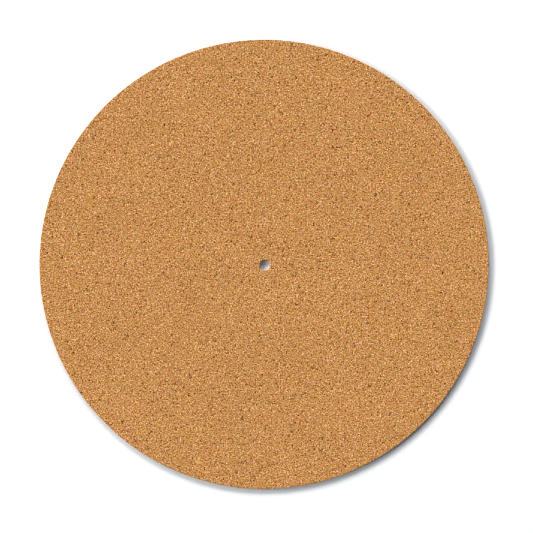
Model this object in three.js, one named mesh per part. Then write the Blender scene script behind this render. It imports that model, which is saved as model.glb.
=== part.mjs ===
// A platter mat for a record turntable: one round disc cut from a sheet of agglomerated
// cork. It lies on the platter, the record lies on it, and the platter's spindle comes up
// through the hole at its centre. It is the same on both faces, so it has no wrong way up.
//
// Frame: millimetres, +Z up, origin on the axis of the hole at the face that rests on the
// platter.

import * as THREE from "three";

// Driving dimensions, in millimetres
const matDiameter = 300; // reaches the rim of a twelve-inch platter
const matThickness = 3; // the sheet that the disc is cut from
const spindleDiameter = 7.1; // what comes up through the mat
const spindleClearance = 0.05; // on the radius: free to drop on, and no side play to hear
const rimEdgeRadius = 0.3; // granules rub off the cut corner as it is handled
const holeEdgeRadius = 0.2; // the punch leaves the small hole's corners sharper

// How finely the round stretches are divided
const turnSteps = 192; // round the axis
const edgeSteps = 3; // round each corner of the section

const corkColour = 0xc58e55; // the granules and their binder, seen from arm's length
const corkRoughness = 0.92;

// The half section of the disc, closed on itself: x is the radius from the spindle's axis
// and y the height above the platter. Both walls are square to the faces, with each corner
// eased by an arc. An arc is held to half the sheet, so that the two of a wall can meet.
function matSection() {
  const rimRadius = matDiameter / 2;
  const holeRadius = spindleDiameter / 2 + spindleClearance;
  const rimEase = Math.min(rimEdgeRadius, matThickness / 2);
  const holeEase = Math.min(holeEdgeRadius, matThickness / 2);

  const section = new THREE.Path();
  section.moveTo(holeRadius + holeEase, 0);
  section.absarc(rimRadius - rimEase, rimEase, rimEase, -Math.PI / 2, 0, false);
  section.absarc(rimRadius - rimEase, matThickness - rimEase, rimEase, 0, Math.PI / 2, false);
  section.absarc(holeRadius + holeEase, matThickness - holeEase, holeEase, Math.PI / 2, Math.PI, false);
  section.absarc(holeRadius + holeEase, holeEase, holeEase, Math.PI, 1.5 * Math.PI, false);
  return section;
}

// The section's points in order, with the ones that two neighbouring stretches share
// written once, and the first repeated at the end to close the ring.
function sectionPoints(section) {
  const sameSpot = 1e-6;
  const points = [];
  for (const curve of section.curves) {
    const steps = curve.isLineCurve ? 1 : edgeSteps;
    for (const point of curve.getPoints(steps)) {
      const last = points.at(-1);
      if (!last || last.distanceTo(point) > sameSpot) points.push(point);
    }
  }
  if (points.at(-1).distanceTo(points[0]) <= sameSpot) points.pop();
  points.push(points[0].clone());
  return points;
}

// LatheGeometry turns the section about Y, and a quarter turn stands that axis up along Z.
function corkMat() {
  const geometry = new THREE.LatheGeometry(sectionPoints(matSection()), turnSteps);
  geometry.rotateX(Math.PI / 2);
  const cork = new THREE.MeshStandardMaterial({
    color: corkColour,
    roughness: corkRoughness,
    metalness: 0,
  });
  const mat = new THREE.Mesh(geometry, cork);
  mat.name = "cork_mat";
  return mat;
}

const platterMat = new THREE.Group();
platterMat.add(corkMat());

export default platterMat;
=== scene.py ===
# %% [markdown]
# # A cork mat for a turntable platter
#
# The real mat is one round disc, cut from a sheet of agglomerated cork: bark that was ground
# to granules, glued under pressure into a block, and sliced. It is 3 mm thick, flat on both
# faces, with square cut walls and one hole for the platter's spindle.
#
# A mat like this has hardly any form, so its looks come from two things that this lesson
# builds one after the other: a mesh that carries the cut edges and the places where a few
# granules have come away, and a material that carries the granules themselves.

import math

import bpy
import numpy as np
from mathutils import Matrix, Vector, noise
from mathutils.geometry import delaunay_2d_cdt


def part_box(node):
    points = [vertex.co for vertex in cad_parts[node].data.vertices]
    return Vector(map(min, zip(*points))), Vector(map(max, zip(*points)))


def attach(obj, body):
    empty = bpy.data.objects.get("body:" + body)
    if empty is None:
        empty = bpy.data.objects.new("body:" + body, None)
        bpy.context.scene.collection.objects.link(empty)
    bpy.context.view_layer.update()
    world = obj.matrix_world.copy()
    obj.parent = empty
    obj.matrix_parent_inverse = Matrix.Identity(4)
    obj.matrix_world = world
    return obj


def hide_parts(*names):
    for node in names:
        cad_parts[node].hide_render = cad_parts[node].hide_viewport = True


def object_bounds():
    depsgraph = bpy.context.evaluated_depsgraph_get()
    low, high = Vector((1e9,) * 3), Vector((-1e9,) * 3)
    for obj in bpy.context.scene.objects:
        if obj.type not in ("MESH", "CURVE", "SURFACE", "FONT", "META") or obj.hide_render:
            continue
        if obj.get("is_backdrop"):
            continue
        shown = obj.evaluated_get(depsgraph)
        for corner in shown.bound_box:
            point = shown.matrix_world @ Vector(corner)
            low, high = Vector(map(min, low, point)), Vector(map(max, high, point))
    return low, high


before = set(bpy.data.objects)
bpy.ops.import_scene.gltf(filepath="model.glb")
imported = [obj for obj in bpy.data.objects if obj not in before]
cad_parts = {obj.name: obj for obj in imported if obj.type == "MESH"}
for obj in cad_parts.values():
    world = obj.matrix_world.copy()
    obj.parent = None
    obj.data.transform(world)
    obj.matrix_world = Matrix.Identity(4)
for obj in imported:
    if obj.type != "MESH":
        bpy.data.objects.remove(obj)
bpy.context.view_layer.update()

# %% [markdown]
# ## Sizes
#
# Nothing here invents a size. The solid disc in the frame has them all: its widest and
# narrowest distance from the axis are the rim and the spindle hole, and where its flat face
# stops short of them tells how far the cut corners are rounded.

# %% Read the disc's sizes from its solid
MILLIMETRE = 0.001
SOLID_NAME = "cork_mat"
LEVEL_TOLERANCE = 0.01 * MILLIMETRE  # points this close in height lie on the same face

solid_low, solid_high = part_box(SOLID_NAME)
solid_points = np.array([vertex.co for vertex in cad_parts[SOLID_NAME].data.vertices])
from_axis = np.hypot(solid_points[:, 0], solid_points[:, 1])
on_record_face = solid_points[:, 2] > solid_high.z - LEVEL_TOLERANCE

thickness = solid_high.z - solid_low.z
rim_radius = float(from_axis.max())
hole_radius = float(from_axis.min())
rim_corner = rim_radius - float(from_axis[on_record_face].max())
hole_corner = float(from_axis[on_record_face].min()) - hole_radius

for name, size in (("thickness", thickness), ("rim radius", rim_radius),
                   ("hole radius", hole_radius), ("rim corner", rim_corner),
                   ("hole corner", hole_corner)):
    print(f"{name}: {size / MILLIMETRE:.2f} mm")

# %% [markdown]
# ## The camera
#
# The mat is seen from straight above, and almost exactly so. Three things can be read from the
# picture: how large the outline is, where it is, and where the spindle hole lies in it. On the
# real mat the hole is at the centre, and in the picture it sits about one pixel off. A long
# lens that leans two degrees does that: the half of a circle that is nearer looks a little
# larger. So the lean is worked out from that offset, and the focal length from the outline.

# %% Work out the camera from three measurements
PICTURE_SIDE = 533
OUTLINE_CENTRE = Vector((264.10, 264.35))  # pixels from the left and from the top
OUTLINE_RADIUS = 224.80
HOLE_CENTRE = Vector((264.85, 265.40))
CAMERA_DISTANCE = 1.0
SENSOR_WIDTH = 0.036
SEEN_FROM = 0.01  # metres before the camera
SEEN_TO = 100

focal_pixels = OUTLINE_RADIUS * CAMERA_DISTANCE / rim_radius
hole_offset = HOLE_CENTRE - OUTLINE_CENTRE
lean = math.asin(hole_offset.length / OUTLINE_RADIUS * CAMERA_DISTANCE / rim_radius)
# Pixels run down, and Y runs up.
lean_towards = Vector((-hole_offset.x, hole_offset.y)).normalized()

face_centre = Vector((0, 0, solid_high.z))
to_camera = Vector((*(lean_towards * math.sin(lean)), math.cos(lean)))
camera_right = Vector((0, 1, 0)).cross(to_camera).normalized()
camera_up = to_camera.cross(camera_right)

# The picture's middle looks at a point a little beside the hole.
pixel_size = CAMERA_DISTANCE / focal_pixels
middle_offset = Vector((PICTURE_SIDE / 2, PICTURE_SIDE / 2)) - HOLE_CENTRE
aim = (camera_right * middle_offset.x - camera_up * middle_offset.y) * pixel_size

camera = bpy.data.objects.new("camera_above", bpy.data.cameras.new("camera_above"))
camera.data.sensor_width = SENSOR_WIDTH / MILLIMETRE
camera.data.lens = focal_pixels * SENSOR_WIDTH / PICTURE_SIDE / MILLIMETRE
camera.data.clip_start = SEEN_FROM
camera.data.clip_end = SEEN_TO
camera.matrix_world = (Matrix.Translation(face_centre + to_camera * CAMERA_DISTANCE + aim)
                       @ Matrix((camera_right, camera_up, to_camera)).transposed().to_4x4())
bpy.context.scene.collection.objects.link(camera)
bpy.context.scene.camera = camera
print(f"lens {camera.data.lens:.1f} mm, leaning {math.degrees(lean):.2f} degrees, "
      f"{pixel_size / MILLIMETRE:.3f} mm a pixel")

# %% [markdown]
# ## The floor
#
# The mat lies on a plain white surface that runs past the horizon, so no edge of it shows from
# any side. White paint never sends all light back: 0.9 is a clean matt white.

# %% Lay the floor
FLOOR_WHITE = 0.9
FLOOR_REACH = 60  # metres each way


def matt_surface(name, colour):
    """A material that is one plain matt colour."""
    material = bpy.data.materials.new(name)
    material.use_nodes = True
    shader = material.node_tree.nodes["Principled BSDF"]
    shader.inputs["Base Color"].default_value = (*colour, 1)
    shader.inputs["Roughness"].default_value = 1
    shader.inputs["Specular IOR Level"].default_value = 0
    return material


floor_mesh = bpy.data.meshes.new("studio_floor")
floor_corners = [(x * FLOOR_REACH, y * FLOOR_REACH, solid_low.z)
                 for x, y in ((-1, -1), (1, -1), (1, 1), (-1, 1))]
floor_mesh.from_pydata(floor_corners, [], [(0, 1, 2, 3)])
floor_mesh.materials.append(matt_surface("white_paint", (FLOOR_WHITE,) * 3))
floor = bpy.data.objects.new("studio_floor", floor_mesh)
bpy.context.scene.collection.objects.link(floor)
floor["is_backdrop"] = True
print(f"floor {2 * FLOOR_REACH} m square")

# %% [markdown]
# ## The light
#
# The only thing that shows the mat's thickness from above is its shadow, so the light is read
# from that. It is about 5 mm wide at the lower right and has gone at the upper left, and it
# fades evenly. For a wall 3 mm high that is light from about 60 degrees off the vertical. The
# shadow is still there at the two sides that face neither towards the light nor away from it,
# so the light reaches a long way round: it is a curved bank of five soft lamps. Sun lamps have
# no fall-off across the mat, and a sun's angle is its softness.
#
# Light from the side hardly gets to the bottom of the spindle hole, which still looks a plain
# mid grey in the picture. So a faint lamp hangs straight above. All together light the floor
# just past white.

# %% Set up the lamps
FLOOR_LEVEL = 1.03  # what the floor sends to the camera, where 1 is white
LIGHT_BEARING = 135  # degrees from X towards Y: the upper left of the picture
NEAR_TURN = 26  # degrees round from the bank's middle to the lamps beside it
FAR_TURN = 54  # and to the bank's ends


def add_lamp(name, bearing, tilt, share, softness):
    """A sun so many degrees across and off the vertical, with its share of the floor's light."""
    lamp = bpy.data.lights.new(name, "SUN")
    lamp.angle = math.radians(softness)
    lamp.energy = share * FLOOR_LEVEL / FLOOR_WHITE * math.pi / math.cos(math.radians(tilt))
    holder = bpy.data.objects.new(name, lamp)
    holder.rotation_euler = (0, math.radians(tilt), math.radians(bearing))
    bpy.context.scene.collection.objects.link(holder)
    print(f"{name}: {lamp.energy:.2f} W/m2")


# With the sky's share these add up to 1. The middle of the bank is lowest, so the shadow is
# longest opposite it.
add_lamp("lamp_above", bearing=0, tilt=0, share=0.045, softness=30)
add_lamp("lamp_middle", LIGHT_BEARING, tilt=64, share=0.165, softness=16)
for side, towards in (("left", 1), ("back", -1)):
    near = LIGHT_BEARING + NEAR_TURN * towards
    far = LIGHT_BEARING + FAR_TURN * towards
    add_lamp(f"lamp_{side}_near", near, tilt=61.5, share=0.185, softness=16)
    add_lamp(f"lamp_{side}_far", far, tilt=56, share=0.175, softness=20)

# %% [markdown]
# ## The sky
#
# In a white studio some light comes from every side, and it fills the shade in the hole too. It
# is a little cool here, to balance the orange light that the cork's walls throw back.
#
# The sky could be seen as it shines, but it is so faint that a view along the floor would have a
# grey band above the horizon. So the camera itself sees it as plain white.

# %% Set up the sky
SKY_SHARE = 0.07  # of the floor's light
SKY_COLOUR = (0.7, 1.0, 1.3)

sky = bpy.data.worlds.new("studio_sky")
sky.use_nodes = True
sky_nodes = sky.node_tree.nodes
sky_nodes["Background"].inputs["Color"].default_value = (*SKY_COLOUR, 1)
sky_nodes["Background"].inputs["Strength"].default_value = SKY_SHARE * FLOOR_LEVEL / FLOOR_WHITE
white_sky = sky_nodes.new("ShaderNodeBackground")
white_sky.inputs["Color"].default_value = (1, 1, 1, 1)
white_sky.inputs["Strength"].default_value = FLOOR_LEVEL
seen_or_lighting = sky_nodes.new("ShaderNodeMixShader")
sky_links = sky.node_tree.links
light_path = sky_nodes.new("ShaderNodeLightPath")
sky_links.new(light_path.outputs["Is Camera Ray"], seen_or_lighting.inputs[0])
sky_links.new(sky_nodes["Background"].outputs[0], seen_or_lighting.inputs[1])
sky_links.new(white_sky.outputs[0], seen_or_lighting.inputs[2])
sky_links.new(seen_or_lighting.outputs[0], sky_nodes["World Output"].inputs["Surface"])
bpy.context.scene.world = sky
print(f"the sky gives {SKY_SHARE:.0%} of the floor's light")

# %% [markdown]
# ## How the picture is developed
#
# White in the scene is white in the picture: no film curve. The crumbs are about as small as a
# pixel, so the pixel's filter is narrow, and the noise remover is told to trust the surface
# colours as they are, or it would wipe the crumbs away with the noise.

# %% Keep white white and the grain sharp
PIXEL_FILTER = 1.15  # pixels across

scene = bpy.context.scene
scene.view_settings.view_transform = "Standard"
scene.cycles.filter_width = PIXEL_FILTER
scene.cycles.denoising_prefilter = "NONE"
print("each pixel gathers light over", PIXEL_FILTER, "pixels")

# %% [markdown]
# ## The flat faces
#
# A disc could be modelled with two big circles, but then nothing could dent them. What a hand
# lens shows on real cork sheet is a sanded face with small pits, where the blade tore out a
# few granules. So each face is laid out as a scatter of points, and a Delaunay triangulation
# joins them up: sparse on the plain stretches, close around each pit and along both edges.
#
# The points lie on rings. Each ring has its own random turn and a little jitter, so that no
# spoke or grid shows in the shading.

# %% Lay out the rings of a face
RIM_STEP = 0.42 * MILLIMETRE
HOLE_STEP = 0.25 * MILLIMETRE
FACE_STEP = 2.2 * MILLIMETRE
STEP_GROWTH = 0.3  # how fast the spacing grows away from an edge
RING_JITTER = 0.22  # of the spacing
RING_PITCH = math.sqrt(0.75)  # of the spacing: rows of even-sided triangles lie this far apart
LAST_RING_GAP = 0.6  # of the spacing, left free inside the rim's edge
RIM_STRIPS = 6  # the wall is unrolled in this many strips later on

rim_columns = RIM_STRIPS * round(math.tau * rim_radius / RIM_STEP / RIM_STRIPS)
hole_columns = round(math.tau * hole_radius / HOLE_STEP)
face_outer = rim_radius - rim_corner
face_inner = hole_radius + hole_corner


def circle(radius, count, turn=0.0):
    """Points evenly spaced on a circle."""
    angles = turn + np.arange(count) * math.tau / count
    return np.column_stack((np.cos(angles), np.sin(angles))) * radius


def spacing_at(radius):
    """The distance between points at that radius: fine at both edges."""
    near_hole = HOLE_STEP + STEP_GROWTH * (radius - face_inner)
    near_rim = RIM_STEP + STEP_GROWTH * (face_outer - radius)
    return min(FACE_STEP, near_hole, near_rim)


def face_rings(random):
    """The points between the hole's edge and the rim's, on jittered rings."""
    rings = []
    radius = face_inner + spacing_at(face_inner)
    while radius < face_outer - LAST_RING_GAP * spacing_at(radius):
        step = spacing_at(radius)
        ring = circle(radius, round(math.tau * radius / step), random.uniform(0, math.tau))
        # Close to an edge a jittered point could cross it, so the jitter fades there.
        room = min(radius - face_inner, face_outer - radius) / FACE_STEP
        jitter = RING_JITTER * step * min(1.0, room)
        rings.append(ring + random.uniform(-jitter, jitter, ring.shape))
        radius += step * RING_PITCH
    return np.vstack(rings)


print(f"{rim_columns} points round the rim, {hole_columns} round the hole")

# %% [markdown]
# ## Where the pits are
#
# Pits lie all over a face, in no order, and keep clear of each other and of both edges. Random
# spots alone would fall in clumps. So they are scattered by dart throwing: a spot is taken only
# if no earlier one is near. A coarse grid of cells remembers the spots, so that only the cells
# around have to be searched.

# %% Scatter the pits
PIT_COUNT = 700
PIT_CLEARANCE = 3.0 * MILLIMETRE


def scatter(random, count, inner, outer, clearance):
    """Spots spread over the ring between two radii, each at least clearance from the rest."""
    taken = {}
    spots = []
    while len(spots) < count:
        radius = math.sqrt(random.uniform(inner ** 2, outer ** 2))
        angle = random.uniform(0, math.tau)
        spot = np.array((math.cos(angle), math.sin(angle))) * radius
        column = int(spot[0] // clearance)
        row = int(spot[1] // clearance)
        cells_around = [(column + i, row + j) for i in (-1, 0, 1) for j in (-1, 0, 1)]
        others = [taken[cell] for cell in cells_around if cell in taken]
        if all(np.hypot(*(spot - other)) > clearance for other in others):
            taken[(column, row)] = spot
            spots.append(spot)
    return np.array(spots)


print(f"{PIT_COUNT} pits on each face, {PIT_CLEARANCE / MILLIMETRE:.0f} mm apart or more")

# %% [markdown]
# ## One pit
#
# A pit is where a few granules came out together. It is 0.7 to 2 mm across and has their broken
# outline. A dent could be pushed into a fine grid, but that needs far more points than a few
# rings: one on the pit's edge, which stays level with the face, a smaller one below it, and one
# point in the middle.

# %% Shape one pit
PIT_RADIUS = (0.35 * MILLIMETRE, 1.0 * MILLIMETRE)
PIT_DEPTH = (0.12 * MILLIMETRE, 0.45 * MILLIMETRE)
PIT_SHALLOWNESS = 0.4  # how much of the range of depths a small pit can have
PIT_STRETCH = (0.65, 1.0)  # its narrow way as a share of its wide way
PIT_RAGGED = (0.8, 1.15)  # how far in and out its outline goes, as a share of its radius
PIT_EDGE_POINTS = 10
PIT_FLOOR_POINTS = 6
PIT_FLOOR_REACH = 0.6  # of the radius
PIT_FLOOR_TURN = 0.3  # radians: the floor's points don't line up with the edge's
PIT_FLOOR_DEPTHS = (0.65, 1.0)  # as a share of the pit's depth
PIT_TORN_AND_SHADE = 0.75  # 0 is sanded, 1 the darkest: broken cork and painted shade


def make_pit(random, spot):
    """One pit's points, with how deep each lies and how much it is darkened, from 0 to 1."""
    # Small pits are common and large ones rare.
    size = random.random() ** 2
    radius = PIT_RADIUS[0] + (PIT_RADIUS[1] - PIT_RADIUS[0]) * size
    deepest = PIT_SHALLOWNESS + (1 - PIT_SHALLOWNESS) * size
    depth = PIT_DEPTH[0] + (PIT_DEPTH[1] - PIT_DEPTH[0]) * random.random() * deepest
    turn = random.uniform(0, math.tau)
    stretch = random.uniform(*PIT_STRETCH)
    outline = circle(1, PIT_EDGE_POINTS) * random.uniform(*PIT_RAGGED, (PIT_EDGE_POINTS, 1))
    floor_ring = circle(PIT_FLOOR_REACH, PIT_FLOOR_POINTS, PIT_FLOOR_TURN)
    floor_ring = floor_ring * random.uniform(*PIT_RAGGED, (PIT_FLOOR_POINTS, 1))
    points = np.vstack((outline, floor_ring, [(0, 0)])) * radius * (1, stretch)
    spin = np.array(((math.cos(turn), -math.sin(turn)), (math.sin(turn), math.cos(turn))))
    floor_depths = depth * random.uniform(*PIT_FLOOR_DEPTHS, PIT_FLOOR_POINTS + 1)
    depths = np.concatenate((np.zeros(PIT_EDGE_POINTS), floor_depths))
    # The pit's floor is darkened: broken cork shows raw glue, and painted shade fills the hollow.
    torn = np.concatenate((np.zeros(PIT_EDGE_POINTS), np.full(PIT_FLOOR_POINTS + 1, PIT_TORN_AND_SHADE)))
    return spot + points @ spin.T, depths, torn


print("pits", [round(2 * radius / MILLIMETRE, 1) for radius in PIT_RADIUS], "mm across, "
      f"up to {PIT_DEPTH[1] / MILLIMETRE:.2f} mm deep")

# %% [markdown]
# ## Room for the pits
#
# The rings know nothing of the pits. A plain point inside a pit, or hard against its edge, would
# spoil its outline, so those points are taken away before anything is joined.

# %% Keep the plain points clear of the pits
PIT_SURROUND = 1.1  # of a pit's radius, kept free of plain points
PIT_MARGIN = 0.1 * FACE_STEP  # and this much more


def clear_of_pits(plain, spots, pits):
    """The plain points that lie well outside every pit."""
    reach = PIT_RADIUS[1] * PIT_RAGGED[1] * PIT_SURROUND + PIT_MARGIN
    keep = np.ones(len(plain), bool)
    for spot, (pit_points, _, _) in zip(spots, pits):
        radius = np.hypot(*(pit_points - spot).T).max()
        close = np.abs(plain - spot).max(axis=1) < reach
        away = np.hypot(*(plain[close] - spot).T)
        keep[close] &= away > radius * PIT_SURROUND + PIT_MARGIN
    return plain[keep]


print(f"plain points stay {PIT_MARGIN / MILLIMETRE:.2f} mm or more from a pit")

# %% [markdown]
# ## Triangulate a face
#
# The two edge circles are given as fixed edges, so that the cut walls can share their points.
# Between the pits the sanded face isn't quite even either: each point lies up to a few
# hundredths of a millimetre low. All of this goes inwards, so the mat keeps its size.

# %% Build one face
FACE_UNEVEN = 0.035 * MILLIMETRE
SAME_POINT = 1e-5  # millimetres
SEED = 12  # any number: the same one gives the same pits each time


def ring_edges(start, count):
    """The edges that join count points in a closed ring."""
    return [(start + i, start + (i + 1) % count) for i in range(count)]


def lay_out_face(random):
    """The points of one face, how deep and how darkened each is, and the triangles between."""
    innermost = face_inner + PIT_CLEARANCE
    outermost = face_outer - PIT_CLEARANCE
    spots = scatter(random, PIT_COUNT, innermost, outermost, PIT_CLEARANCE)
    pits = [make_pit(random, spot) for spot in spots]
    plain = clear_of_pits(face_rings(random), spots, pits)

    rim_edge = circle(face_outer, rim_columns)
    hole_edge = circle(face_inner, hole_columns)
    points = np.vstack((rim_edge, hole_edge, plain, *[pit[0] for pit in pits]))
    edge_count = rim_columns + hole_columns
    uneven = FACE_UNEVEN * random.random(len(plain))
    depths = np.concatenate((np.zeros(edge_count), uneven, *[pit[1] for pit in pits]))
    torn = np.concatenate((np.zeros(edge_count + len(plain)), *[pit[2] for pit in pits]))

    # The triangulation is done in millimetres, where its rounding is far below a granule.
    flat = [Vector(point) for point in points / MILLIMETRE]
    fixed = ring_edges(0, rim_columns) + ring_edges(rim_columns, hole_columns)
    joined, _, triangles, *_ = delaunay_2d_cdt(flat, fixed, [], 0, SAME_POINT)
    assert len(joined) == len(points), "two points of a face fell together"
    # It also fills the spindle hole, and those triangles are left out again.
    in_hole_edge = range(rim_columns, edge_count)
    kept = [t for t in triangles if not all(corner in in_hole_edge for corner in t)]
    return points, depths, torn, np.array(kept)


random = np.random.default_rng(SEED)
record_face = lay_out_face(random)
platter_face = lay_out_face(random)
print("triangles on the two faces:", len(record_face[3]), len(platter_face[3]))

# %% [markdown]
# ## How rough the cut is
#
# The outer wall was cut with a knife or a water jet and the hole was punched. The blade leaves
# lumps of a few granules almost flush, with shallow lines between them, and along the corners
# some have chipped off. Lumps fill a wall as cells do, so the lines are drawn where two cells of
# a Voronoi pattern meet, and smooth noise picks the stretches of a corner that are chipped.
#
# The walls are also marked darker than the sanded faces. Part of that is the cut cork's own
# colour, and part is painted shade, so that a wall facing the lamps is no brighter than a face.

# %% Say how far a wall's points lie inwards
WALL_LUMP = 1.1 * MILLIMETRE
LUMP_LINE_DEPTH = 0.05 * MILLIMETRE
LUMP_LINE = (0.02, 0.3)  # from a line's middle to where it has run out, in lumps
CHIP_SPACING = 2.4 * MILLIMETRE
CHIP_DEPTH = 0.16 * MILLIMETRE
CHIP_NOISE = (0.22, 0.5)  # where the noise starts a chip, and where the chip is at its deepest
CORNER_HOLD = 3  # the higher, the closer the chips keep to the corners
# A chip is darkened for its broken cork and with painted shade in its hollow.
CHIP_TORN_AND_SHADE = 0.3


def smooth_step(low, high, value):
    """0 below low, 1 above high, and an even curve between them."""
    share = min(1.0, max(0.0, (value - low) / (high - low)))
    return share * share * (3 - 2 * share)


def wall_depth(spot, corner_share, wall_torn_and_shade):
    """How far a wall point lies inside its nominal place, and how much it is darkened there."""
    nearest, second = noise.voronoi(spot / WALL_LUMP)[0][:2]
    line = 1 - smooth_step(*LUMP_LINE, second - nearest)
    lost = smooth_step(*CHIP_NOISE, noise.noise(spot / CHIP_SPACING)) * corner_share
    depth = LUMP_LINE_DEPTH * line + CHIP_DEPTH * lost
    # Chips and the wall between the corners are darkened: broken cork and painted shade.
    return depth, CHIP_TORN_AND_SHADE * lost + wall_torn_and_shade * (1 - corner_share)


print(f"wall points lie up to {(LUMP_LINE_DEPTH + CHIP_DEPTH) / MILLIMETRE:.2f} mm inside")

# %% [markdown]
# ## The cut walls
#
# Each wall is a grid: columns go round, and rows follow the section from the record face over
# the rounded corner, down, and round to the platter face. Every point is then pushed inwards
# along the section's normal. A bevelled cylinder would have the same section, but not the points
# that the faces need to meet it.
#
# The hole's wall is the darkest, partly as punched cork and partly as painted shade: in the
# picture hardly any orange light comes from it into the shade of the hole.

# %% Build the two walls
# How much each wall is darkened, for its cut cork and with painted shade.
RIM_TORN_AND_SHADE = 0.6
HOLE_TORN_AND_SHADE = 1.0
CORNER_ROWS = 3
WALL_ROWS = 6


def wall_section(radius, corner, outwards):
    """The rows of a wall: place and normal in the half section, and its share of a corner."""
    rows = []
    for i in range(CORNER_ROWS + 1):
        turn = math.pi / 2 * i / CORNER_ROWS
        rows.append((corner * (math.sin(turn) - 1), thickness - corner * (1 - math.cos(turn)),
                     math.sin(turn), math.cos(turn), 1.0))
    for i in range(1, WALL_ROWS):
        share = i / WALL_ROWS
        rows.append((0.0, thickness - corner - (thickness - 2 * corner) * share, 1.0, 0.0,
                     abs(2 * share - 1) ** CORNER_HOLD))
    for i in range(CORNER_ROWS + 1):
        turn = math.pi / 2 * i / CORNER_ROWS
        rows.append((corner * (math.cos(turn) - 1), corner * (1 - math.sin(turn)),
                     math.cos(turn), -math.sin(turn), 1.0))
    return [(radius + outwards * across, height, outwards * normal_across, normal_up, near)
            for across, height, normal_across, normal_up, near in rows]


def build_wall(radius, corner, outwards, columns, wall_torn_and_shade):
    """The points of a wall row by row, how much each is darkened, and the number of rows."""
    rows = wall_section(radius, corner, outwards)
    points = []
    torn = []
    for across, height, normal_across, normal_up, near in rows:
        for column in range(columns):
            angle = column * math.tau / columns
            spoke = Vector((math.cos(angle), math.sin(angle), 0))
            place = spoke * across + Vector((0, 0, solid_low.z + height))
            normal = spoke * normal_across + Vector((0, 0, normal_up))
            depth, lost = wall_depth(place, near, wall_torn_and_shade)
            points.append(place - normal * depth)
            torn.append(lost)
    return np.array(points), np.array(torn), len(rows)


rim_wall = build_wall(rim_radius, rim_corner, 1, rim_columns, RIM_TORN_AND_SHADE)
hole_wall = build_wall(hole_radius, hole_corner, -1, hole_columns, HOLE_TORN_AND_SHADE)
print(f"rim wall {rim_wall[2]} rows by {rim_columns}, "
      f"hole wall {hole_wall[2]} rows by {hole_columns}")

# %% [markdown]
# ## One list of points
#
# The disc is one piece of cork, so it becomes one closed mesh. The first and last rows of a wall
# are the edge circles of the two faces, so those points are used by both and nothing has to be
# welded. For that each point gets one number in a common list, and the walls come first.

# %% Number the points of the walls
class Sheet:
    """Collects the points of the disc, and how much each is darkened."""

    def __init__(self):
        self.points = []
        self.torn = []
        self.count = 0

    def add_points(self, points, torn):
        """Keeps some points and says which numbers they have."""
        self.points.append(points)
        self.torn.append(torn)
        self.count += len(points)
        return np.arange(self.count - len(points), self.count)


def wall_grid(sheet, wall, columns):
    """Adds a wall's points and gives their numbers as rows and columns."""
    points, torn, rows = wall
    return sheet.add_points(points, torn).reshape(rows, columns)


sheet = Sheet()
rim_grid = wall_grid(sheet, rim_wall, rim_columns)
hole_grid = wall_grid(sheet, hole_wall, hole_columns)
print(sheet.count, "points on the walls")

# %% [markdown]
# ## The faces between the walls
#
# A face brings its own points, apart from those on its two edges, which the walls have already.
# Its triangles can come out either way round. Those that would point into the cork are turned
# over, or they would be shaded wrongly.

# %% Set the faces between the walls
def add_face(sheet, face, rim_row, hole_row, height, inwards):
    """Adds a face between an edge row of each wall. Its own points sink inwards from a height."""
    points, depths, torn, triangles = face
    shared = len(rim_row) + len(hole_row)
    levels = height + inwards * depths
    solid = np.column_stack((points, levels))
    own = sheet.add_points(solid[shared:], torn[shared:])
    numbers = np.concatenate((rim_row, hole_row, own))
    corners = points[triangles]
    turning = np.cross(corners[:, 1] - corners[:, 0], corners[:, 2] - corners[:, 0])
    # The record face is seen anticlockwise from above, and the platter face from below.
    wrong = turning * -inwards < 0
    triangles[wrong] = triangles[wrong][:, ::-1]
    return numbers[triangles]


record_triangles = add_face(sheet, record_face, rim_grid[0], hole_grid[0], solid_high.z, -1)
platter_triangles = add_face(sheet, platter_face, rim_grid[-1], hole_grid[-1], solid_low.z, 1)
print(sheet.count, "points with the faces")

# %% [markdown]
# ## The mesh
#
# The walls' four-sided faces close the gap between the two faces. Going down a wall and then
# along it, always in the same order, keeps them pointing out too. How much each point is
# darkened, for broken cork and painted shade, goes along as an attribute, which the material
# reads later. As a test, each edge is counted: in a closed mesh two faces meet at every one.

# %% Join everything into one mesh
PIECE_NAME = "cork_sheet_disc"


def wall_quads(grid, outwards):
    """The four-sided faces of a wall, pointing away from the cork."""
    after = np.roll(grid, -1, axis=1)
    quads = np.stack((grid[:-1], grid[1:], after[1:], after[:-1]), axis=-1)
    return (quads if outwards else quads[..., ::-1]).reshape(-1, 4)


rim_quads = wall_quads(rim_grid, True)
hole_quads = wall_quads(hole_grid, False)

disc_mesh = bpy.data.meshes.new(PIECE_NAME)
all_points = np.vstack(sheet.points)
all_faces = [face for group in (record_triangles, platter_triangles, rim_quads, hole_quads)
             for face in group.tolist()]
disc_mesh.from_pydata(all_points, [], all_faces)
disc_mesh.polygons.foreach_set("use_smooth", np.ones(len(all_faces), bool))
# One number a point: how much broken cork and painted shade darken it.
torn_and_shade_mark = disc_mesh.attributes.new("torn", "FLOAT", "POINT")
torn_and_shade_mark.data.foreach_set("value", np.concatenate(sheet.torn).astype(np.float32))

disc = bpy.data.objects.new(PIECE_NAME, disc_mesh)
bpy.context.scene.collection.objects.link(disc)

edge_uses = np.bincount([corner.edge_index for corner in disc_mesh.loops])
triangle_count = sum(len(face) - 2 for face in all_faces)
print(f"{len(disc_mesh.vertices)} points, {triangle_count} triangles, "
      f"{(edge_uses != 2).sum()} open edges")

# %% [markdown]
# ## A flat map of the surface
#
# A game or a web page can't run this lesson's node material, so its finish has to be painted
# into a square picture. That needs a map that lays the whole skin out flat.
# An automatic unwrap would cut the skin into thousands of scraps. The disc has a plain order, so
# the map is drawn: the two faces go in as two round patches, corner to corner, and the
# unrolled walls go in as strips in the two corners that stay free.

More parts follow.
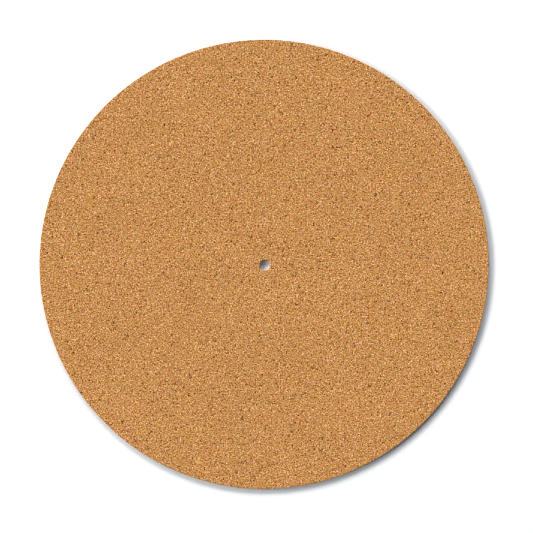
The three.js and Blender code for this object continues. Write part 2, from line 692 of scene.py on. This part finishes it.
# %% Lay the skin out flat
MAP_NAME = "OFBake"
PATCH_RADIUS = 0.288
PATCH_CENTRES = ((0.293, 0.293), (0.707, 0.707))  # of the record face and the platter face
STRIP_LENGTH = 0.385
STRIP_HEIGHT = 0.045
STRIP_PITCH = 0.06
RIM_CORNERS = ((0.01, 0.70), (0.60, 0.13))  # where the lowest strip starts in each free corner
HOLE_STRIP_CORNER = (0.01, 0.90)


def patch_places(triangles, points, centre, side):
    """The map places of a face's triangles. The platter face is seen from below: side is -1."""
    scale = PATCH_RADIUS / face_outer
    corners = points[triangles][..., :2]
    return (np.array(centre) + corners * (scale, scale * side)).reshape(-1, 2)


def strip_places(grid, outwards, strips, lowest):
    """The map places of a wall's quads, unrolled in strips that start at the given corners."""
    rows, columns = grid.shape
    strip, along = np.divmod(np.arange(columns), columns // strips)
    step = STRIP_LENGTH / (columns // strips)
    left = lowest[strip, 0] + along * step
    levels = np.linspace(STRIP_HEIGHT, 0, rows)
    upper = lowest[strip, 1] + levels[:-1, None]
    lower = lowest[strip, 1] + levels[1:, None]
    left = np.broadcast_to(left, upper.shape)
    right = left + step
    quads = np.stack((np.stack((left, upper), -1), np.stack((left, lower), -1),
                      np.stack((right, lower), -1), np.stack((right, upper), -1)), axis=2)
    return (quads if outwards else quads[:, :, ::-1]).reshape(-1, 2)


rim_lowest = np.array([(x, y + STRIP_PITCH * i) for x, y in RIM_CORNERS
                       for i in range(RIM_STRIPS // len(RIM_CORNERS))])
places = np.vstack((patch_places(record_triangles, all_points, PATCH_CENTRES[0], 1),
                    patch_places(platter_triangles, all_points, PATCH_CENTRES[1], -1),
                    strip_places(rim_grid, True, RIM_STRIPS, rim_lowest),
                    strip_places(hole_grid, False, 1, np.array([HOLE_STRIP_CORNER]))))
flat_map = disc_mesh.uv_layers.new(name=MAP_NAME)
flat_map.data.foreach_set("uv", places.ravel())
print(f"the map spans {places.min():.3f} to {places.max():.3f}, {len(places)} corners")

# %% [markdown]
# ## A helper for formulas
#
# A node material is arithmetic, and arithmetic is easier to read as a formula than as a web of
# boxes. This class holds one output of a node. Adding or multiplying two of them adds the
# Math node that does it, or the Vector Math node if they are vectors.

# %% Write node maths as formulas
class Wire:
    """One output socket of a node, which can be written into a formula."""

    def __init__(self, board, socket):
        self.board = board
        self.socket = socket

    def combine(self, operation, first, second):
        """Adds the node that does this sum."""
        kind = "ShaderNodeVectorMath" if self.socket.type == "VECTOR" else "ShaderNodeMath"
        return self.board.add(kind, {"operation": operation}, [first, second])

    def sibling(self, name):
        """Another output of the same node."""
        return Wire(self.board, self.socket.node.outputs[name])

    def __add__(self, other):
        return self.combine("ADD", self, other)

    def __radd__(self, other):
        return self.combine("ADD", other, self)

    def __sub__(self, other):
        return self.combine("SUBTRACT", self, other)

    def __rsub__(self, other):
        return self.combine("SUBTRACT", other, self)

    def __mul__(self, other):
        return self.combine("MULTIPLY", self, other)

    def __rmul__(self, other):
        return self.combine("MULTIPLY", other, self)


print("formulas can add, subtract and multiply")

# %% [markdown]
# ## A helper for nodes
#
# Every other node is added by one method, which is told its kind, its settings, and what goes
# into its sockets. The settings come first, because they can change which sockets a node has.

# %% Add nodes by one method
class Board:
    """The node tree of one material."""

    def __init__(self, name):
        self.material = bpy.data.materials.new(name)
        self.material.use_nodes = True
        self.tree = self.material.node_tree
        self.shader = self.tree.nodes["Principled BSDF"]

    def add(self, kind, settings=None, inputs=(), output=None):
        """Adds a node: its settings first, then its inputs by place or name. Gives one output."""
        node = self.tree.nodes.new(kind)
        for name, value in (settings or {}).items():
            if name == "stops":
                self.set_stops(node.color_ramp, value)
            else:
                setattr(node, name, value)
        named = inputs.items() if isinstance(inputs, dict) else enumerate(inputs)
        for key, value in named:
            self.feed(self.find(node.inputs, key), value)
        return Wire(self, self.find(node.outputs, output or 0))

    def find(self, sockets, key):
        """The socket in use that has this name or place. Some nodes keep others out of use."""
        usable = [socket for socket in sockets if socket.enabled]
        if isinstance(key, int):
            return usable[key]
        return next(socket for socket in usable if socket.name == key)

    def feed(self, socket, value):
        """Links a wire to the socket, or sets its number, vector or colour."""
        if isinstance(value, Wire):
            self.tree.links.new(value.socket, socket)
        elif socket.type == "VECTOR" and isinstance(value, (int, float)):
            socket.default_value = (value,) * 3
        elif socket.type == "RGBA":
            socket.default_value = (*value, 1)
        else:
            socket.default_value = value

    def set_stops(self, ramp, stops):
        """Gives a colour ramp these (place, colour) stops."""
        while len(ramp.elements) < len(stops):
            ramp.elements.new(0.5)
        for element, (place, colour) in zip(ramp.elements, stops):
            element.position = place
            element.color = (*colour, 1)

    def blend(self, share, first, second, how="MIX"):
        """Mixes two colours by a share from 0 to 1."""
        return self.add("ShaderNodeMix", {"data_type": "RGBA", "blend_type": how},
                        {"Factor": share, "A": first, "B": second})

    def tinted(self, colour, tint):
        """The colour with each of its channels multiplied by the tint's."""
        return self.blend(1.0, colour, tint, "MULTIPLY")

    def between(self, value, low, high):
        """0 where the value is at low, 1 where it is at high, and a smooth curve between."""
        return self.add("ShaderNodeMapRange", {"interpolation_type": "SMOOTHSTEP"},
                        {"Value": value, "From Min": low, "From Max": high})


def srgb(red, green, blue):
    """A colour as picked from a screen, 0 to 255, as the linear numbers that light adds up in."""
    shares = [channel / 255 for channel in (red, green, blue)]
    return tuple(c / 12.92 if c <= 0.04045 else ((c + 0.055) / 1.055) ** 2.4 for c in shares)


cork = Board("agglomerated_cork")
print("material", cork.material.name)

# %% [markdown]
# ## Granules
#
# Cork granules are crumbs of bark pressed together until they fill the block, and a Voronoi
# pattern is just that: cells that fill space. It is made in three dimensions, so the cut walls
# show the same crumbs sliced the other way and no seam runs round the edge. Noise is added to
# the place first, which breaks the cells' straight sides.

# %% Cells that fill the block
GRANULE = 0.39  # millimetres, across an average cell
GRANULE_WARP = 0.2  # millimetres
GRANULE_WARP_RATE = 1.6  # waves in a millimetre
WARP_DETAIL = 3.0  # finer noises, each half as wide as the one before

place = cork.add("ShaderNodeTexCoord", output="Object") * (1 / MILLIMETRE)


def waves(place, rate, detail=0.0, output="Fac"):
    """Smooth noise with that many waves in a millimetre: one number, or three as a colour."""
    return cork.add("ShaderNodeTexNoise", {"noise_dimensions": "3D"},
                    {"Vector": place, "Scale": rate, "Detail": detail}, output)


def bend(place, rate, amount):
    """The place moved up to that many millimetres each way by smooth noise."""
    moved = waves(place, rate, WARP_DETAIL, "Color")
    centred = cork.add("ShaderNodeVectorMath", {"operation": "SUBTRACT"}, [moved, 0.5])
    return place + centred * (2 * amount)


def cells(place, size, feature="F1", output="Color"):
    """Voronoi cells, their size in millimetres: a random colour each, or the way to an edge."""
    return cork.add("ShaderNodeTexVoronoi", {"voronoi_dimensions": "3D", "feature": feature},
                    {"Vector": place, "Scale": 1 / size}, output)


def channels(colour):
    """A colour's three numbers. A cell's random colour gives three random numbers."""
    red = cork.add("ShaderNodeSeparateColor", {}, [colour])
    return red, red.sibling("Green"), red.sibling("Blue")


granule_place = bend(place, GRANULE_WARP_RATE, GRANULE_WARP)
granule_shade, granule_tint, granule_height = channels(cells(granule_place, GRANULE))
glue_distance = cells(granule_place, GRANULE, "DISTANCE_TO_EDGE", "Distance")
print("granules", GRANULE, "mm across")

# %% [markdown]
# ## Granule colours
#
# Crumbs of cork differ in lightness far more than in hue: on a screen their red, green and
# blue go up and down by about the same steps. So one tan is picked from the middle of the
# range, and every stop of the ramp is that tan so many steps lighter or darker. A cell's random
# number then chooses its place on the ramp.
#
# Random numbers alone would also make patches, where dark crumbs happen to lie together. The
# real sheet is more even than that: pressing fits small dark crumbs in between large pale ones.
# So part of each crumb's lightness comes from a wave of noise with crests a millimetre apart,
# which alternates light and dark from crumb to crumb.
#
# Neighbouring crumbs often come from the same bark, so the hue drifts over about two
# millimetres. One noise pulls it between orange and grey, and another between rose and olive,
# with the lightness left as it is.
#
# Paint is darker than it looks under strong light. The lamps make a white of 0.9 show at
# the floor's level, so a colour picked from the picture is scaled back by that ratio.

# %% Colour the granules
TAN = (210, 149, 84)
STEP_PULL = (0.88, 0.96, 1.07)  # blue swings a little further than red
SHADE_STEPS = ((0.0, -92), (0.06, -58), (0.25, -26), (0.5, 0), (0.75, 24), (0.94, 52), (1.0, 78))
CHANCE_SHARE = 0.71  # of a crumb's lightness
WAVE_SIZE = 1.0  # millimetres from crest to crest
WAVE_STRENGTH = 1.19
HUE_PATCH = 2.2  # millimetres
ORANGE_PULL = (0.11, 0.0, -0.42)
OLIVE_PULL = (-0.17, 0.10, -0.41)
PAINT_SHARE = FLOOR_WHITE / FLOOR_LEVEL


def paint(red, green, blue):
    """The paint that shows as this screen colour under the studio's lamps. None is past white."""
    return tuple(min(1.0, channel * PAINT_SHARE) for channel in srgb(red, green, blue))


def shaded(steps):
    """The tan, so many screen steps lighter or darker."""
    return paint(*(max(0, channel + steps * pull) for channel, pull in zip(TAN, STEP_PULL)))


def scaled(vector, amount):
    """A fixed vector made longer or shorter by a wire."""
    return cork.add("ShaderNodeVectorMath", {"operation": "SCALE"},
                    {"Vector": vector, "Scale": amount})


# Random numbers and noise both run from 0 to 1, so 0.5 is the middle of either.
wave = waves(place, 1 / WAVE_SIZE)
lightness = 0.5 + CHANCE_SHARE * (granule_shade - 0.5) + WAVE_STRENGTH * (wave - 0.5)
shades = [(at, shaded(steps)) for at, steps in SHADE_STEPS]
granule_colour = cork.add("ShaderNodeValToRGB", {"stops": shades}, [lightness])
orange_drift, olive_drift, _ = channels(waves(place, 1 / HUE_PATCH, output="Color"))
tint = 1 + scaled(ORANGE_PULL, orange_drift - 0.5) + scaled(OLIVE_PULL, olive_drift - 0.5)
granule_colour = cork.tinted(granule_colour, tint)
print("tan paint", [round(channel, 3) for channel in shaded(0)])

# %% [markdown]
# ## Bark, pale cork and glue
#
# Some crumbs come from the outer bark and are dark brown, and some from the cleanest cork and
# are pale. They are larger than the rest, so they have cells of their own, and a random
# number picks a few out of a hundred. Between the crumbs runs a thread of darker glue, which
# shows in some places and is squeezed thin in others.

# %% Add flecks and glue lines
FLECK = 0.9  # millimetres
FLECK_WARP = 0.3  # millimetres
FLECK_WARP_RATE = 2.4  # waves in a millimetre
BARK_SHARE = 0.03
PALE_SHARE = 0.018
FULL_COLOUR = 0.7  # the part of each share that has its full colour, and the rest has less
BARK_BROWN = paint(118, 58, 0)
BARK_LEAST = 0.55  # how brown the palest bark is, where 1 is the full brown
PALE_CORK = paint(255, 206, 148)
PALE_STRENGTH = 0.8
GLUE_BROWN = (0.62, 0.52, 0.42)
GLUE_WIDTH = 0.055  # millimetres
GLUE_PATCH = 0.9  # millimetres, from one stretch that shows its glue to the next
GLUE_NOISE = (0.28, 0.6)  # where the noise has squeezed the glue away, and where it all shows

fleck_place = bend(place, FLECK_WARP_RATE, FLECK_WARP)
fleck_number, fleck_tone, _ = channels(cells(fleck_place, FLECK))
is_bark = cork.between(fleck_number, BARK_SHARE, BARK_SHARE * FULL_COLOUR)
is_pale = cork.between(fleck_number, 1 - PALE_SHARE, 1 - PALE_SHARE * FULL_COLOUR)
bark_cover = is_bark * (BARK_LEAST + (1 - BARK_LEAST) * fleck_tone)
cork_colour = cork.blend(bark_cover, granule_colour, BARK_BROWN)
cork_colour = cork.blend(is_pale * PALE_STRENGTH, cork_colour, PALE_CORK)

glue_shows = cork.between(waves(place, 1 / GLUE_PATCH), *GLUE_NOISE)
in_glue = cork.between(glue_distance * GRANULE, GLUE_WIDTH, 0.0) * glue_shows
glued_colour = cork.tinted(cork_colour, GLUE_BROWN)
cork_colour = cork.blend(in_glue, cork_colour, glued_colour)
print(f"{BARK_SHARE:.1%} bark and {PALE_SHARE:.1%} pale cork")

# %% [markdown]
# ## Pits and mottling
#
# The mesh marked how much each point is darkened, in the pits and chips and on the cut walls.
# Part of that is broken cork, which shows raw glue, and the rest is painted shade, in the
# hollows and on the walls. Over the whole sheet the mix of crumbs isn't quite even, which shows
# as a faint mottling a few centimetres wide.

# %% Darken the pits and mottle the sheet
# Broken cork, and painted shade in the hollows and on the walls, darken to this at most.
TORN_AND_SHADE_BROWN = (0.333, 0.2, 0.067)  # what the darkest cork sends back of each colour
MOTTLE_SIZE = 36.0  # millimetres
MOTTLE_STRENGTH = 0.16
MOTTLE_DETAIL = 3.0  # finer noises, each half as wide as the one before

# The mark darkens broken cork and paints shade into the pits, chips and walls.
torn_and_shade_amount = cork.add("ShaderNodeAttribute", {"attribute_name": "torn"}, output="Fac")
torn_and_shaded_colour = cork.tinted(cork_colour, TORN_AND_SHADE_BROWN)
cork_colour = cork.blend(torn_and_shade_amount, cork_colour, torn_and_shaded_colour)
mottle = 1 + MOTTLE_STRENGTH * (waves(place, 1 / MOTTLE_SIZE, MOTTLE_DETAIL) - 0.5)
mottle_light = cork.add("ShaderNodeCombineColor", {}, [mottle] * 3)
cork_colour = cork.tinted(cork_colour, mottle_light)
print(f"mottled by up to {MOTTLE_STRENGTH / 2:.0%} either way")

# %% [markdown]
# ## Roughness and relief
#
# Sanded cork is matt, and its sliced bark is a little smoother than the rest. The crumbs differ
# in height by a few hundredths of a millimetre and the glue between them is hollow. A face has
# hundreds of thousands of crumbs, too many for a mesh to hold one by one, so this finest relief
# is a bump, and the mesh has what is larger.

# %% Finish the surface
SANDED_ROUGHNESS = 0.93
BARK_SMOOTHNESS = 0.12  # taken off for bark
CRUMB_SMOOTHNESS = 0.06  # at most, taken off at random from crumb to crumb
SHEEN = 0.15  # of the shine off a surface, where 0.5 is common
CRUMB_RELIEF = 0.05  # millimetres
GLUE_HOLLOW = 0.05  # millimetres
RELIEF_STRENGTH = 0.5

roughness = SANDED_ROUGHNESS - BARK_SMOOTHNESS * is_bark - CRUMB_SMOOTHNESS * granule_tint
height = CRUMB_RELIEF * granule_height - GLUE_HOLLOW * in_glue
relief = cork.add("ShaderNodeBump", {},
                  {"Strength": RELIEF_STRENGTH, "Distance": MILLIMETRE, "Height": height})
cork.feed(cork.shader.inputs["Base Color"], cork_colour)
cork.feed(cork.shader.inputs["Roughness"], roughness)
cork.feed(cork.shader.inputs["Normal"], relief)
cork.feed(cork.shader.inputs["Specular IOR Level"], SHEEN)
disc_mesh.materials.append(cork.material)
print(len(cork.tree.nodes), "nodes in", cork.material.name)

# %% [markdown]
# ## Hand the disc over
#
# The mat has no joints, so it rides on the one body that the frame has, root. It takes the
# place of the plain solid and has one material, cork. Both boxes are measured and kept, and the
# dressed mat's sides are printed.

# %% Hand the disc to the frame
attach(disc, "root")
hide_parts(SOLID_NAME)
visual_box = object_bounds()
dressed_sides = [round(side / MILLIMETRE, 2) for side in visual_box[1] - visual_box[0]]
print("the dressed mat measures", dressed_sides, "mm")
